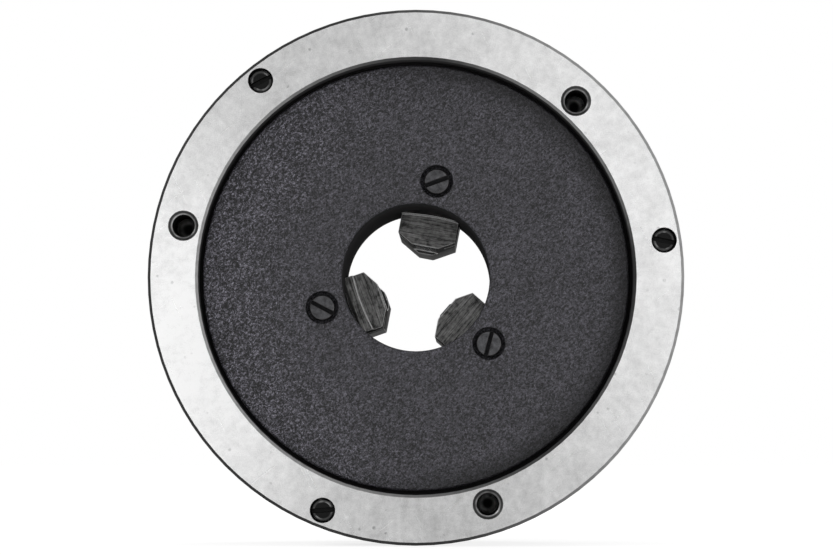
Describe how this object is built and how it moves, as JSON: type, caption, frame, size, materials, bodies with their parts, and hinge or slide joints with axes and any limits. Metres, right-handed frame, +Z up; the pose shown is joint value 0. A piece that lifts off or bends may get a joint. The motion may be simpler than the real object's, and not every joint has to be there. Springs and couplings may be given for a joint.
{
  "type": "lathe chuck",
  "caption": "Self-centring three-jaw scroll chuck seen from its plain back: ground rim with a register recess, cast rear cover and stepped jaws that a square key moves together.",
  "frame": {"origin": "centre of the rear mounting face, on the spindle axis", "axes": "+Y along the spindle axis towards the jaws, +X to the right and +Z up when the rear face is looked at"},
  "size_m": [0.16, 0.095, 0.16],
  "materials": {
    "ground_iron": "turned and ground, slightly tarnished, with fine concentric lines",
    "cast_black": "black as-cast skin with a pebbled grain",
    "screw_steel": "blackened steel, oily, worn at the edges",
    "gear_steel": "machined and hardened steel",
    "pinion_steel": "machined steel, lightly oiled",
    "jaw_steel": "hardened and ground steel, darkened by oil"
  },
  "bodies": {
    "root": {"chuck_body": "ground_iron", "rear_cover": "cast_black", "cover_screw_1": "screw_steel", "cover_screw_2": "screw_steel", "cover_screw_3": "screw_steel", "pinion_screw_1": "screw_steel", "pinion_screw_2": "screw_steel", "pinion_screw_3": "screw_steel"},
    "scroll": {"scroll_plate": "gear_steel"},
    "pinion_1": {"pinion_1": "pinion_steel"},
    "jaw_1": {"jaw_1": "jaw_steel"},
    "pinion_2": {"pinion_2": "pinion_steel"},
    "jaw_2": {"jaw_2": "jaw_steel"},
    "pinion_3": {"pinion_3": "pinion_steel"},
    "jaw_3": {"jaw_3": "jaw_steel"}
  },
  "joints": [
    {"name": "scroll_turn", "type": "hinge", "parent": "root", "child": "scroll", "pos_m": [0, 0.038, 0], "axis": [0, -1, 0], "range_deg": [-418, 751]},
    {"name": "pinion_1_turn", "type": "hinge", "parent": "root", "child": "pinion_1", "pos_m": [0.06611, 0.024, 0.02302], "axis": [0.9444, 0, 0.3289], "range_deg": [-2511, 4509]},
    {"name": "pinion_2_turn", "type": "hinge", "parent": "root", "child": "pinion_2", "pos_m": [-0.05299, 0.024, 0.04574], "axis": [-0.757, 0, 0.6534], "range_deg": [-2511, 4509]},
    {"name": "pinion_3_turn", "type": "hinge", "parent": "root", "child": "pinion_3", "pos_m": [-0.01312, 0.024, -0.06876], "axis": [-0.1874, 0, -0.9823], "range_deg": [-2511, 4509]},
    {"name": "jaw_1_slide", "type": "slide", "parent": "root", "child": "jaw_1", "axis": [0.1874, 0, 0.9823], "range_m": [-0.0093, 0.0167]},
    {"name": "jaw_2_slide", "type": "slide", "parent": "root", "child": "jaw_2", "axis": [-0.9444, 0, -0.3289], "range_m": [-0.0093, 0.0167]},
    {"name": "jaw_3_slide", "type": "slide", "parent": "root", "child": "jaw_3", "axis": [0.757, 0, -0.6534], "range_m": [-0.0093, 0.0167]}
  ],
  "couplings": [
    {"joint": "pinion_1_turn", "follows": "scroll_turn", "ratio": 6},
    {"joint": "pinion_2_turn", "follows": "scroll_turn", "ratio": 6},
    {"joint": "pinion_3_turn", "follows": "scroll_turn", "ratio": 6},
    {"joint": "jaw_1_slide", "follows": "scroll_turn", "m_per_rad": 0.0012732},
    {"joint": "jaw_2_slide", "follows": "scroll_turn", "m_per_rad": 0.0012732},
    {"joint": "jaw_3_slide", "follows": "scroll_turn", "m_per_rad": 0.0012732}
  ]
}
